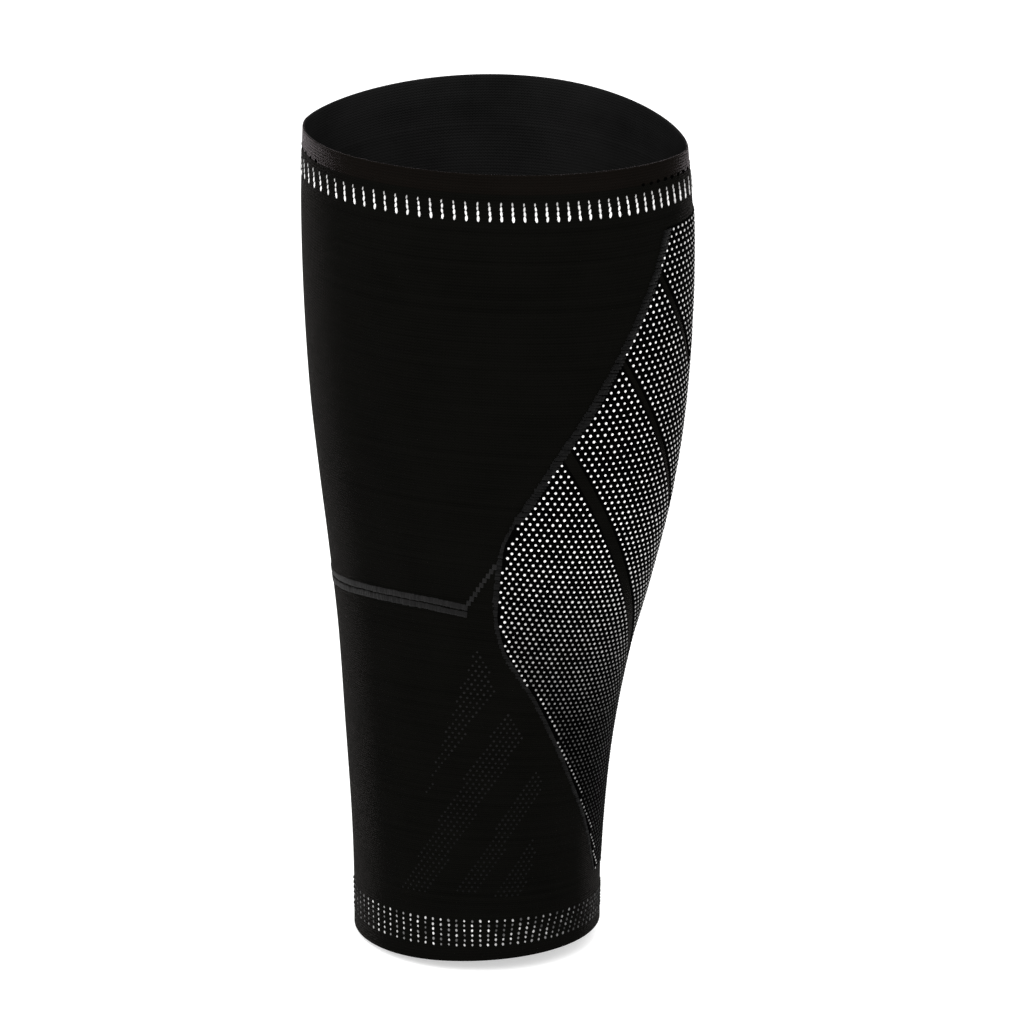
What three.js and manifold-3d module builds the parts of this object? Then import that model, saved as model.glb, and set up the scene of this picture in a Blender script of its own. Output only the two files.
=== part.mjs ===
// Knitted calf compression sleeve in its worn shape, in millimetres.
// +Z runs up the leg, +Y is the calf side and -Y the shin side.
// The origin is the middle of the ankle opening, on the line through the leg.

import * as THREE from 'three';
import { mergeVertices } from 'three/addons/utils/BufferGeometryUtils.js';
import Module from 'manifold-3d';

// Driving sizes of the sleeve
const sleeveLength = 297.5; // ankle rim to knee rim, along the leg
const ankleDepth = 88; // shin to calf at the ankle opening
const ankleWidth = 73; // side to side at the ankle opening
const calfDepth = 137; // shin to calf at the fullest course
const calfWidth = 102; // side to side at the fullest course

// Walls and bands
const tubeWall = 1.4; // plain knit
const padWall = 1.8; // thicker dotted knit of the calf fields
const cuffWall = 1.8; // doubled knit of both cuffs
const topCuffHeight = 17.5;
const ankleCuffHeight = 18.5;
const barWidth = 4.6; // plain chevron bars between the fields
const seamGap = 0.3; // clearance between neighbouring pieces
const cornerHeight = 1.6; // a field ends where its corner gets lower than this

// How finely the knit is faceted
const segments = 56; // round the leg
const tubeRows = 19; // up the plain tube
const rimSteps = 4; // round each rolled rim
const columnAngle = 6; // degrees between the columns of a field
const fieldRowHeight = 11; // height of the facets of a field

// Sections up the leg. at is a share of sleeveLength. deep and wide go from 0, the ankle's
// size, to 1, the calf's. middle is how far back a section sits, a share of calfDepth, and
// broadest is where it is widest, a share of its own depth from the middle. slope is how far
// the calf side of a course drops and arch how far its flanks rise, shares of ankleDepth.
// point is above 1 where the calf side narrows to a blunt point.
const SECTIONS = [
  { at: 0.0, deep: 0.0, wide: 0.0, middle: 0.0, broadest: -0.015, slope: -0.073, arch: 0.006, point: 1.0 },
  { at: 0.04, deep: 0.0, wide: 0.03, middle: 0.0, broadest: -0.015, slope: -0.035, arch: 0.015, point: 1.0 },
  { at: 0.13, deep: 0.03, wide: 0.08, middle: 0.0, broadest: -0.015, slope: -0.005, arch: 0.033, point: 1.0 },
  { at: 0.25, deep: 0.14, wide: 0.15, middle: 0.004, broadest: -0.02, slope: 0.019, arch: 0.055, point: 1.0 },
  { at: 0.37, deep: 0.31, wide: 0.28, middle: 0.018, broadest: -0.03, slope: 0.037, arch: 0.072, point: 1.0 },
  { at: 0.47, deep: 0.53, wide: 0.44, middle: 0.035, broadest: -0.035, slope: 0.037, arch: 0.076, point: 1.0 },
  { at: 0.57, deep: 0.74, wide: 0.63, middle: 0.048, broadest: -0.035, slope: 0.023, arch: 0.064, point: 1.0 },
  { at: 0.67, deep: 0.89, wide: 0.8, middle: 0.054, broadest: -0.035, slope: 0.002, arch: 0.045, point: 1.0 },
  { at: 0.79, deep: 0.98, wide: 0.93, middle: 0.056, broadest: -0.033, slope: -0.009, arch: 0.032, point: 1.02 },
  { at: 0.91, deep: 1.0, wide: 0.99, middle: 0.055, broadest: -0.025, slope: -0.009, arch: 0.032, point: 1.12 },
  { at: 1.0, deep: 0.95, wide: 0.88, middle: 0.052, broadest: -0.01, slope: -0.007, arch: 0.042, point: 1.34 },
];
const shinPoint = 1.15; // the shin side is a little more pointed than an ellipse

// Outline of the dotted calf panel. round is a share of the half turn from the calf to the
// shin, and upper and lower are shares of sleeveLength.
const PANEL = [
  { round: 0.0, upper: 0.93, lower: 0.08 },
  { round: 0.045, upper: 0.929, lower: 0.093 },
  { round: 0.085, upper: 0.926, lower: 0.135 },
  { round: 0.112, upper: 0.921, lower: 0.163 },
  { round: 0.145, upper: 0.873, lower: 0.197 },
  { round: 0.172, upper: 0.842, lower: 0.217 },
  { round: 0.211, upper: 0.8, lower: 0.259 },
  { round: 0.244, upper: 0.746, lower: 0.287 },
  { round: 0.278, upper: 0.708, lower: 0.313 },
  { round: 0.306, upper: 0.682, lower: 0.333 },
  { round: 0.328, upper: 0.655, lower: 0.351 },
  { round: 0.367, upper: 0.605, lower: 0.376 },
  { round: 0.394, upper: 0.57, lower: 0.399 },
  { round: 0.411, upper: 0.53, lower: 0.45 },
];

// Middle lines of the three plain chevrons, from the calf's middle outwards.
const BARS = [
  [{ round: 0.0, height: 0.765 }, { round: 0.07, height: 0.822 }, { round: 0.15, height: 0.87 }],
  [{ round: 0.0, height: 0.585 }, { round: 0.11, height: 0.68 }, { round: 0.217, height: 0.772 }],
  [
    { round: 0.0, height: 0.418 }, { round: 0.094, height: 0.464 }, { round: 0.15, height: 0.514 },
    { round: 0.211, height: 0.573 }, { round: 0.311, height: 0.65 },
  ],
];

const blend = (low, high, share) => low + (high - low) * share;
const halfTurn = Math.PI;

// Slope of a table column at one row, from the rows on both sides of it
function slopeAt(table, key, column, row) {
  const before = table[Math.max(row - 1, 0)];
  const after = table[Math.min(row + 1, table.length - 1)];
  return (after[column] - before[column]) / (after[key] - before[key]);
}

// Smooth curve through a table column
function smooth(table, key, column, value) {
  const place = THREE.MathUtils.clamp(value, table[0][key], table[table.length - 1][key]);
  let row = 0;
  while (row < table.length - 2 && table[row + 1][key] < place) row += 1;
  const [low, high] = [table[row], table[row + 1]];
  const span = high[key] - low[key];
  const s = (place - low[key]) / span;
  const rise = high[column] - low[column];
  const startBend = slopeAt(table, key, column, row) * span - rise;
  const endBend = rise - slopeAt(table, key, column, row + 1) * span;
  return low[column] + rise * s + s * (1 - s) * ((1 - s) * startBend + s * endBend);
}

// Straight lines through a table column, carried on past its last row
function straight(table, key, column, value) {
  let row = 0;
  while (row < table.length - 2 && table[row + 1][key] < value) row += 1;
  const [low, high] = [table[row], table[row + 1]];
  return blend(low[column], high[column], (value - low[key]) / (high[key] - low[key]));
}

// Depth and width of the sleeve at a height
function sizeAt(height) {
  const at = height / sleeveLength;
  return {
    depth: blend(ankleDepth, calfDepth, smooth(SECTIONS, 'at', 'deep', at)),
    width: blend(ankleWidth, calfWidth, smooth(SECTIONS, 'at', 'wide', at)),
  };
}

// Point of the outer face. angle is 0 at the calf's middle and half a turn at the shin's.
function facePoint(height, angle) {
  const section = (column) => smooth(SECTIONS, 'at', column, height / sleeveLength);
  const { depth, width } = sizeAt(height);
  const middle = section('middle') * calfDepth;
  const broadest = middle + section('broadest') * depth;
  const across = Math.sin(angle);
  const along = Math.cos(angle);
  const reach = along > 0 ? middle + depth / 2 - broadest : broadest - middle + depth / 2;
  const power = along > 0 ? section('point') : shinPoint;
  const x = Math.sign(across) * Math.abs(across) ** power * (width / 2);
  const y = broadest + reach * along;
  const z = height - section('slope') * y + section('arch') * ankleDepth * across ** 2;
  return new THREE.Vector3(x, y, z);
}

// The same point moved into the wall by inset, square to the face
function wallPoint(height, angle, inset) {
  const [stepUp, stepRound] = [sleeveLength / 300, halfTurn / 300];
  const above = facePoint(Math.min(height + stepUp, sleeveLength), angle);
  const up = above.sub(facePoint(Math.max(height - stepUp, 0), angle));
  const round = facePoint(height, angle + stepRound).sub(facePoint(height, angle - stepRound));
  const inward = round.cross(up).normalize();
  return facePoint(height, angle).addScaledVector(inward, inset);
}

// Mesh geometry from points and four-cornered faces
function geometryOf(points, faces) {
  const positions = points.flatMap((point) => point.toArray());
  const geometry = new THREE.BufferGeometry();
  geometry.setAttribute('position', new THREE.Float32BufferAttribute(positions, 3));
  geometry.setIndex(faces.flatMap(([a, b, c, d]) => [a, c, b, a, d, c]));
  return geometry;
}

// Closed band round the leg. profile is a loop of heights and insets.
function band(profile) {
  const points = [];
  const faces = [];
  const count = profile.length;
  for (let turn = 0; turn < segments; turn += 1) {
    const angle = (turn / segments) * 2 * halfTurn;
    for (const { height, inset } of profile) points.push(wallPoint(height, angle, inset));
    const next = ((turn + 1) % segments) * count;
    for (let k = 0; k < count; k += 1) {
      const k2 = (k + 1) % count;
      faces.push([turn * count + k, turn * count + k2, next + k2, next + k]);
    }
  }
  return geometryOf(points, faces);
}

// Evenly spaced heights from one end of a band to the other
function heightsBetween(bottom, top, rows) {
  return Array.from({ length: rows + 1 }, (_, row) => blend(bottom, top, row / rows));
}

// Profile of a wall, up its inner face and down its outer one
function wallProfile(bottom, top, rows, wall) {
  const heights = heightsBetween(bottom, top, rows);
  const inner = heights.map((height) => ({ height, inset: wall }));
  const outer = heights.map((height) => ({ height, inset: 0 })).reverse();
  return [...inner, ...outer];
}

// Profile of a cuff whose free edge is rolled over. rim is its height and end its seam.
function cuffProfile(rim, end, wall) {
  const into = Math.sign(end - rim);
  const roll = [];
  for (let step = 0; step <= rimSteps; step += 1) {
    const turn = (step / rimSteps) * halfTurn;
    const height = rim + (into * wall * (1 - Math.sin(turn))) / 2;
    roll.push({ height, inset: (wall * (1 + Math.cos(turn))) / 2 });
  }
  const middle = (roll[0].height + end) / 2;
  const loop = [
    { height: end, inset: wall }, { height: middle, inset: wall }, ...roll,
    { height: middle, inset: 0 }, { height: end, inset: 0 },
  ];
  return into < 0 ? loop : loop.reverse();
}

// Length of a half turn of the course at a height
function halfGirth(height) {
  const { depth, width } = sizeAt(height);
  return ((depth + width) / 4) * halfTurn;
}

// Upper and lower edge of a calf field, grown by a clearance. Field 0 is the top one.
function fieldEdges(field, round, clearance) {
  const share = Math.abs(round);
  const ahead = 0.01;
  const margin = barWidth / 2 - clearance;
  const edge = (table, column, side, offset) => {
    const height = straight(table, 'round', column, share) * sleeveLength;
    const next = straight(table, 'round', column, share + ahead) * sleeveLength;
    const lean = (next - height) / (halfGirth(height) * ahead);
    return height + side * offset * Math.hypot(1, lean);
  };
  const tops = [edge(PANEL, 'upper', 1, clearance)];
  const bottoms = [edge(PANEL, 'lower', -1, clearance)];
  if (field > 0) tops.push(edge(BARS[field - 1], 'height', -1, margin));
  if (field < BARS.length) bottoms.push(edge(BARS[field], 'height', 1, margin));
  return { upper: Math.min(...tops), lower: Math.max(...bottoms) };
}

// How far round a field reaches before its corner gets too low
function fieldReach(field) {
  const widest = PANEL[PANEL.length - 1].round;
  const step = 0.001;
  const heightAt = (round) => {
    const { upper, lower } = fieldEdges(field, round, 0);
    return upper - lower;
  };
  let round = step;
  while (round + step <= widest && heightAt(round + step) > cornerHeight) round += step;
  return round;
}

// Closed solid over a calf field, between two insets
function fieldSolid(field, clearance, outerInset, innerInset) {
  const reach = fieldReach(field);
  const middle = fieldEdges(field, 0, 0);
  const half = reach + clearance / halfGirth(middle.upper);
  const columns = 2 * Math.ceil((half * 180) / columnAngle);
  const rows = Math.max(2, Math.round((middle.upper - middle.lower) / fieldRowHeight));
  const points = [];
  const faces = [];
  const id = (layer, column, row) => (layer * (columns + 1) + column) * (rows + 1) + row;
  for (const inset of [outerInset, innerInset]) {
    for (let column = 0; column <= columns; column += 1) {
      const round = blend(-half, half, column / columns);
      const held = Math.min(Math.abs(round), reach);
      const { upper, lower } = fieldEdges(field, held, clearance);
      for (const height of heightsBetween(lower, upper, rows)) {
        points.push(wallPoint(height, round * halfTurn, inset));
      }
    }
  }
  for (let c = 0; c < columns; c += 1) {
    for (let r = 0; r < rows; r += 1) {
      faces.push([id(0, c, r), id(0, c + 1, r), id(0, c + 1, r + 1), id(0, c, r + 1)]);
      faces.push([id(1, c, r), id(1, c, r + 1), id(1, c + 1, r + 1), id(1, c + 1, r)]);
    }
    faces.push([id(0, c, 0), id(1, c, 0), id(1, c + 1, 0), id(0, c + 1, 0)]);
    faces.push([id(0, c, rows), id(0, c + 1, rows), id(1, c + 1, rows), id(1, c, rows)]);
  }
  for (let r = 0; r < rows; r += 1) {
    faces.push([id(0, 0, r), id(0, 0, r + 1), id(1, 0, r + 1), id(1, 0, r)]);
    faces.push([id(0, columns, r), id(1, columns, r), id(1, columns, r + 1), id(0, columns, r + 1)]);
  }
  return geometryOf(points, faces);
}

// Boolean solids from closed geometry, and back
const wasm = await Module();
wasm.setup();

function toSolid(geometry) {
  const merged = mergeVertices(geometry.clone(), 1e-4);
  return new wasm.Manifold(new wasm.Mesh({
    numProp: 3,
    vertProperties: new Float32Array(merged.attributes.position.array),
    triVerts: new Uint32Array(merged.index.array),
  }));
}

function toGeometry(solid) {
  const { vertProperties, triVerts } = solid.getMesh();
  const geometry = new THREE.BufferGeometry();
  geometry.setAttribute('position', new THREE.Float32BufferAttribute(vertProperties, 3));
  geometry.setIndex(Array.from(triVerts));
  return geometry;
}

// The plain tube with a window for each calf field
function tubeWithWindows() {
  const bottom = ankleCuffHeight + seamGap;
  const top = sleeveLength - topCuffHeight - seamGap;
  const cutDepth = 2 * padWall;
  let tube = toSolid(band(wallProfile(bottom, top, tubeRows, tubeWall)));
  for (let field = 0; field <= BARS.length; field += 1) {
    tube = tube.subtract(toSolid(fieldSolid(field, seamGap, -cutDepth, cutDepth)));
  }
  return toGeometry(tube);
}

// Colours of the yarns
const plainKnit = { color: '#1d1c1b', roughness: 0.92, metalness: 0 };
const cuffKnit = { color: '#2a2320', roughness: 0.88, metalness: 0 };
const dottedKnit = { color: '#8b8a88', roughness: 0.85, metalness: 0 };

const sleeve = new THREE.Group();

// Name a piece, give it its finish and add it to the sleeve
function addPiece(name, geometry, finish) {
  geometry.computeVertexNormals();
  const mesh = new THREE.Mesh(geometry, new THREE.MeshStandardMaterial(finish));
  mesh.name = name;
  sleeve.add(mesh);
}

addPiece('top_cuff', band(cuffProfile(sleeveLength, sleeveLength - topCuffHeight, cuffWall)), cuffKnit);
addPiece('leg_tube', tubeWithWindows(), plainKnit);
for (let field = 0; field <= BARS.length; field += 1) {
  const pad = fieldSolid(field, 0, tubeWall - padWall, tubeWall);
  addPiece(`calf_pad_${field + 1}`, pad, dottedKnit);
}
addPiece('ankle_cuff', band(cuffProfile(0, ankleCuffHeight, cuffWall)), cuffKnit);

export default sleeve;
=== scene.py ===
# %% [markdown]
# # A knitted calf sleeve, stitch by stitch
# The real object is one long knitted tube, worn on the lower leg. It has a doubled
# cuff at each end and a calf panel where a second, white yarn comes to the front as
# dots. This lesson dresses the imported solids: every visible stitch sits on one
# surface, and every surface comes from one small table of cross sections.

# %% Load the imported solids
import math
import bpy
import numpy as np
from mathutils import Matrix, Vector


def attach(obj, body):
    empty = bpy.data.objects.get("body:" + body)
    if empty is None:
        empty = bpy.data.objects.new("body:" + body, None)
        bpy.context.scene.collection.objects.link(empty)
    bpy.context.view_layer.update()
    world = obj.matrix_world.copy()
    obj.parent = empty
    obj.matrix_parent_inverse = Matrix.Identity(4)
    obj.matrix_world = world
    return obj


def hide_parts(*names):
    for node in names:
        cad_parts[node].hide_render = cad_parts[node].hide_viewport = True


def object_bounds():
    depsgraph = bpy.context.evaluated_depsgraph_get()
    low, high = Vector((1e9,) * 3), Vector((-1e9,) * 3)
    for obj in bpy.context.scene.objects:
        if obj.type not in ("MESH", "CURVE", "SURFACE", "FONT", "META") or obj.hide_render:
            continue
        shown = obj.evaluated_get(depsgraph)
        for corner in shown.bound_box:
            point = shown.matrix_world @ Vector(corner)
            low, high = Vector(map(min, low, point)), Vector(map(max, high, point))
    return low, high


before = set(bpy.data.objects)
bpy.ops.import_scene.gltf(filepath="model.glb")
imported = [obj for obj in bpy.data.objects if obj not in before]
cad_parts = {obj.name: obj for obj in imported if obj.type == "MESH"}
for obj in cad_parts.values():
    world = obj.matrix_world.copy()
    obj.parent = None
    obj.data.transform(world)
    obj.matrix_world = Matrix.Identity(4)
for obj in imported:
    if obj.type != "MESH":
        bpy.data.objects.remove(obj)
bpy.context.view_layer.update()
MM = 0.001
print("solids:", sorted(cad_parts))

# %% [markdown]
# ## Camera
# The sleeve is seen from its side, a little from the calf, and from above, so the
# knee opening shows as an ellipse. A long lens from 3 m keeps the near and far rims
# almost the same size, as they are in the picture. Moving the camera sideways in its
# own plane frames the sleeve without turning the view.

# %% Place the camera
AZIMUTH, ELEVATION, DISTANCE = math.radians(14), math.radians(23), 3.0
LENS, SENSOR, FAR_END = 303.3, 36, 50
MIDDLE = Vector((0, 0, 0.150))  # about the middle of the sleeve
MOVE_RIGHT, MOVE_UP = 0.01262, 0.00619  # metres in the camera's own plane
back = Vector((math.cos(AZIMUTH) * math.cos(ELEVATION),
               math.sin(AZIMUTH) * math.cos(ELEVATION), math.sin(ELEVATION)))
right = Vector((-math.sin(AZIMUTH), math.cos(AZIMUTH), 0))
up = back.cross(right)
camera_data = bpy.data.cameras.new("camera")
camera_data.lens, camera_data.sensor_width = LENS, SENSOR
camera_data.clip_end = FAR_END
camera = bpy.data.objects.new("camera", camera_data)
bpy.context.scene.collection.objects.link(camera)
place = MIDDLE + back * DISTANCE + right * MOVE_RIGHT + up * MOVE_UP
camera.matrix_world = Matrix.Translation(place) @ Matrix((right, up, back)).transposed().to_4x4()
bpy.context.scene.camera = camera
print("camera at", [round(c, 3) for c in place])

# %% [markdown]
# ## The shape of the leg in the sleeve
# A sleeve has no shape of its own: it takes the leg's. Eleven cross sections from the
# ankle to the knee say how deep and how wide the tube is, where its middle lies, and
# how its courses dip at the sides. Each column of the table is joined by a smooth
# curve. A lofted mesh could do the same, but a formula also gives any stitch its
# place, however fine the stitches are.

# %% Cross sections
LENGTH, ANKLE_DEPTH, ANKLE_WIDTH, CALF_DEPTH, CALF_WIDTH = 297.5, 88.0, 73.0, 137.0, 102.0
SHIN_POINT = 1.15
NEAR, TURN = 0.5, 0.02  # mm up and radians round, to find how the face lies at a point
# at, deep, wide, middle, broadest, slope, arch, point
SECTIONS = np.array([
    (0.00, 0.00, 0.00, 0.000, -0.015, -0.073, 0.006, 1.00),
    (0.04, 0.00, 0.03, 0.000, -0.015, -0.035, 0.015, 1.00),
    (0.13, 0.03, 0.08, 0.000, -0.015, -0.005, 0.033, 1.00),
    (0.25, 0.14, 0.15, 0.004, -0.020, 0.019, 0.055, 1.00),
    (0.37, 0.31, 0.28, 0.018, -0.030, 0.037, 0.072, 1.00),
    (0.47, 0.53, 0.44, 0.035, -0.035, 0.037, 0.076, 1.00),
    (0.57, 0.74, 0.63, 0.048, -0.035, 0.023, 0.064, 1.00),
    (0.67, 0.89, 0.80, 0.054, -0.035, 0.002, 0.045, 1.00),
    (0.79, 0.98, 0.93, 0.056, -0.033, -0.009, 0.032, 1.02),
    (0.91, 1.00, 0.99, 0.055, -0.025, -0.009, 0.032, 1.12),
    (1.00, 0.95, 0.88, 0.052, -0.010, -0.007, 0.042, 1.34)])


def smooth_column(places, column):
    """A smooth curve through one column of the table."""
    x, v = SECTIONS[:, 0], SECTIONS[:, column]
    slopes = np.gradient(v, x)
    slopes[1:-1] = (v[2:] - v[:-2]) / (x[2:] - x[:-2])
    places = np.clip(places, 0, 1)
    i = np.clip(np.searchsorted(x, places, side="right") - 1, 0, len(x) - 2)
    span, rise = x[i + 1] - x[i], v[i + 1] - v[i]
    s = (places - x[i]) / span
    start_bend, end_bend = slopes[i] * span - rise, rise - slopes[i + 1] * span
    return v[i] + rise * s + s * (1 - s) * ((1 - s) * start_bend + s * end_bend)


def on_leg(height, angle):
    """A point of the sleeve's outer face in mm: angle 0 is the calf, pi the shin."""
    height, angle = np.broadcast_arrays(np.asarray(height, float), np.asarray(angle, float))
    deep, wide, middle, broadest, slope, arch, point = (
        smooth_column(height / LENGTH, c) for c in range(1, 8))
    depth = ANKLE_DEPTH + (CALF_DEPTH - ANKLE_DEPTH) * deep
    width = ANKLE_WIDTH + (CALF_WIDTH - ANKLE_WIDTH) * wide
    middle = middle * CALF_DEPTH
    broadest = middle + broadest * depth
    across, along = np.sin(angle), np.cos(angle)
    reach = np.where(along > 0, middle + depth / 2 - broadest, broadest - middle + depth / 2)
    power = np.where(along > 0, point, SHIN_POINT)
    x = np.sign(across) * np.abs(across) ** power * width / 2
    y = broadest + reach * along
    z = height - slope * y + arch * ANKLE_DEPTH * across ** 2
    return np.stack([x, y, z], -1)


def unit(vectors):
    return vectors / np.maximum(np.linalg.norm(vectors, axis=-1, keepdims=True), 1e-9)


def off_leg(height, angle, lift):
    """A point lifted off the face along its normal, with the normal and the way round."""
    low, high = np.clip(height - NEAR, 0, LENGTH), np.clip(height + NEAR, 0, LENGTH)
    round_way = unit(on_leg(height, angle + TURN) - on_leg(height, angle - TURN))
    up_way = unit(on_leg(high, angle) - on_leg(low, angle))
    normal = unit(np.cross(up_way, round_way))
    return on_leg(height, angle) + normal * np.asarray(lift, float)[..., None], normal, round_way


check = off_leg(np.array([150.0]), np.array([0.0]), np.array([0.0]))
print("calf point", check[0].round(1), "faces", check[1].round(2))

# %% [markdown]
# ## Counting stitches
# A knitter works from a chart: columns of stitches and rows of courses, not
# millimetres. So does this script. A column is half the step between two dots, and
# there are 240 round the leg, closer together on the calf side. A row is one line of
# dots, and as the tube stretches over the calf the rows spread with the girth. With a
# chart, every pattern edge falls exactly between two stitches, as on the real thing.

# %% The stitch chart's grid
COLUMNS, ROWS_PER_GIRTH = 120, 163  # columns in half a turn
CROWDING = 11 / 45  # how much closer the columns stand on the calf than on average
SHARE_STEPS = 240
grid_heights = np.linspace(0, LENGTH, 239)
grid_angles = np.linspace(0, math.pi, 361)
grid = on_leg(grid_heights[:, None], grid_angles[None, :])
arc = np.cumsum(np.linalg.norm(np.diff(grid, axis=1), axis=2), axis=1)
arc = np.concatenate([np.zeros((len(grid_heights), 1)), arc], axis=1)
girth = 2 * arc[:, -1]
shares = np.linspace(0, 1, SHARE_STEPS + 1)
angle_table = np.array([np.interp(shares * a[-1], a, grid_angles) for a in arc])
row_height = girth / ROWS_PER_GIRTH
step = grid_heights[1]
row_count = np.concatenate([[0], np.cumsum(step * 2 / (row_height[1:] + row_height[:-1]))])
ROWS = row_count[-1]


def height_of(row):
    return np.interp(row, row_count, grid_heights)


def row_of(height):
    return np.interp(height, grid_heights, row_count)


def angle_of(column, height):
    """The angle of a chart column at a height: the stitches are closer on the calf."""
    part = np.clip(np.abs(column) / COLUMNS, 0, 1)
    # Both places stay just inside the last step of the table.
    share = (1 + CROWDING - np.sqrt((1 + CROWDING) ** 2 - 4 * CROWDING * part)) / (2 * CROWDING)
    h, s = np.clip(height / step, 0, len(grid_heights) - 1.001), share * SHARE_STEPS * 0.999999
    i, j = h.astype(int), s.astype(int)
    fh, fs = h - i, s - j
    angle = ((angle_table[i, j] * (1 - fs) + angle_table[i, j + 1] * fs) * (1 - fh)
             + (angle_table[i + 1, j] * (1 - fs) + angle_table[i + 1, j + 1] * fs) * fh)
    return np.where(np.abs(column) >= COLUMNS, math.pi, angle) * np.where(column < 0, -1, 1)


def at_stitch(column, height, lift=0.0):
    """Place, normal and way round of the stitch at a column and a height in mm."""
    column, height, lift = (np.array(a, float) for a in np.broadcast_arrays(column, height, lift))
    return off_leg(height, angle_of(column, height), lift)


print("girth", girth[[0, -1]].round(0), "mm,", round(ROWS, 1), "rows")

# %% [markdown]
# ## The calf panel on the chart
# The panel is edged by one line of grey stitches. Inside it, three plain chevrons cut
# the dots into four fields. On the chart a chevron is a plain diagonal, one row up
# for one column out, so a field is the stitches whose row less column lies in a range.

# %% Chart of the panel
PANEL_EDGE = np.array([  # column, row of the grey edge stitches, from the top down
    (13.3, 146.6), (18.6, 139.0), (23.0, 134.0), (27.3, 129.0), (32.6, 123.0), (36.8, 118.4),
    (40.9, 114.1), (44.6, 110.2), (50.1, 103.4), (53.9, 98.6), (56.2, 93.8), (57.2, 88.3),
    (57.1, 81.6), (55.8, 76.4), (52.9, 71.0), (48.3, 66.9), (42.3, 61.9), (36.6, 56.0),
    (30.2, 49.0), (23.0, 40.5), (16.5, 33.1), (11.1, 25.5), (6.2, 17.3), (4.4, 14.2)])
FIELDS = {  # the lowest and highest row less column of each field, from the top down
    "calf_field_1": (124, 150), "calf_field_2": (100, 120),
    "calf_field_3": (72, 96), "calf_field_4": (-40, 66)}
LOW_ROW, TOP_ROW = 17, 145
WIDEST = 11  # the point of PANEL_EDGE where the panel is widest


def edge_column(row):
    """The panel's edge at a row."""
    return np.interp(row, PANEL_EDGE[::-1, 1], PANEL_EDGE[::-1, 0])


def edge_row(column, upper):
    """The panel's edge at a column, above or below its widest place."""
    if upper:
        return np.interp(column, PANEL_EDGE[:WIDEST + 1, 0], PANEL_EDGE[:WIDEST + 1, 1])
    return np.interp(column, PANEL_EDGE[:WIDEST:-1, 0], PANEL_EDGE[:WIDEST:-1, 1])


def dot_limit(row):
    """The outermost column a dot may have at a row, clear of the grey edge."""
    return edge_column(row) - np.interp(row, [90, 100], [0.9, 1.9])


def in_field(name, column, row):
    low, high = FIELDS[name]
    diagonal = row - np.abs(column)
    return ((diagonal >= low) & (diagonal <= high) & (row >= LOW_ROW) & (row <= TOP_ROW)
            & (np.abs(column) <= dot_limit(row)))


# %% [markdown]
# ## Meshes from grids of stitches
# All the cloth pieces are grids: columns one way, rows the other. One helper joins a
# closed profile (outer face, rim, inner face, rim) round the leg, and keeps a UV map
# that counts wales and courses, so a material can draw a stitch at its true scale.

# %% Mesh helpers
WALES = 1.5    # fine wales for each chart column
COURSES = 2.0  # fine courses for each chart row
SHARP_FOLD = math.radians(50)
CUBIC_CM = 1e-6


def make_mesh(name, points, faces, uv, finishes):
    """A smooth mesh from points in mm, with its stitch-counting UV and its finishes."""
    mesh = bpy.data.meshes.new(name)
    mesh.from_pydata([tuple(p) for p in np.asarray(points) * MM], [], [tuple(f) for f in faces])
    layer = mesh.uv_layers.new(name="stitches")
    layer.data.foreach_set("uv", np.asarray(uv, float).ravel())
    for finish in finishes:
        mesh.materials.append(finish)
    mesh.shade_smooth()
    mesh.set_sharp_from_angle(angle=SHARP_FOLD)
    mesh.update()
    piece = bpy.data.objects.new(name, mesh)
    bpy.context.scene.collection.objects.link(piece)
    return piece


def band(name, profile, finishes, finish_of, folded=False, columns=240):
    """A closed band round the leg. The profile lists (height, lift) round its section."""
    ks = np.linspace(-COLUMNS, COLUMNS, columns + 1)[:-1]
    heights, lifts = np.array(profile, float).T
    points = at_stitch(ks[None, :], heights[:, None], lifts[:, None])[0]
    rows, quads, uv = len(profile), [], []
    mean_row = np.mean(row_height)
    course = row_of(np.clip(heights, 0, LENGTH)) * COURSES
    if folded:  # the courses are counted along the profile, through its fold
        run = np.concatenate([[0], np.cumsum(np.hypot(np.diff(heights), np.diff(lifts)))])
        course = course[0] + run * COURSES / mean_row
    last = course[-1] + np.hypot(heights[0] - heights[-1], lifts[0] - lifts[-1]) / mean_row
    wale = np.append(ks, COLUMNS) * WALES
    for i in range(rows):
        a, b = i, (i + 1) % rows
        va, vb = course[i], course[i + 1] if i + 1 < rows else last
        for j in range(columns):
            c, d = j, (j + 1) % columns
            quads.append((a * columns + c, a * columns + d, b * columns + d, b * columns + c))
            uv += [(wale[j], va), (wale[j + 1], va), (wale[j + 1], vb), (wale[j], vb)]
    piece = make_mesh(name, points.reshape(-1, 3), quads, uv, finishes)
    index = np.repeat([finish_of(i) for i in range(rows)], columns)
    piece.data.polygons.foreach_set("material_index", index)
    face_outwards(piece)
    return piece


def face_outwards(piece):
    """Turns a closed mesh round if its volume comes out negative."""
    co = np.array([v.co for v in piece.data.vertices])
    volume = 0.0
    for face in piece.data.polygons:
        v = co[list(face.vertices)]
        for i in range(1, len(v) - 1):
            volume += np.dot(v[0], np.cross(v[i], v[i + 1])) / 6
    if volume < 0:
        piece.data.flip_normals()
    print(piece.name, len(piece.data.polygons), "faces,", round(abs(volume) / CUBIC_CM, 1), "cm3")


# %% [markdown]
# ## Finishes
# All the yarn is matt and nearly black, so its look comes from two things: the relief
# of the loops, and the soft glow that fine fibres catch at a glancing angle. The glow
# is the shader's sheen. The relief is a knit stitch drawn on the stitch-counting UV:
# each wale is a column of V shapes, and each V is two slanting legs. The relief also
# darkens the colour in the gaps between the legs: painted shade.

# %% Helpers for node trees
def put(tree, kind, **settings):
    """Adds a node to a tree and makes its settings."""
    node = tree.nodes.new(kind)
    for label, value in settings.items():
        setattr(node, label, value)
    return node


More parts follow.
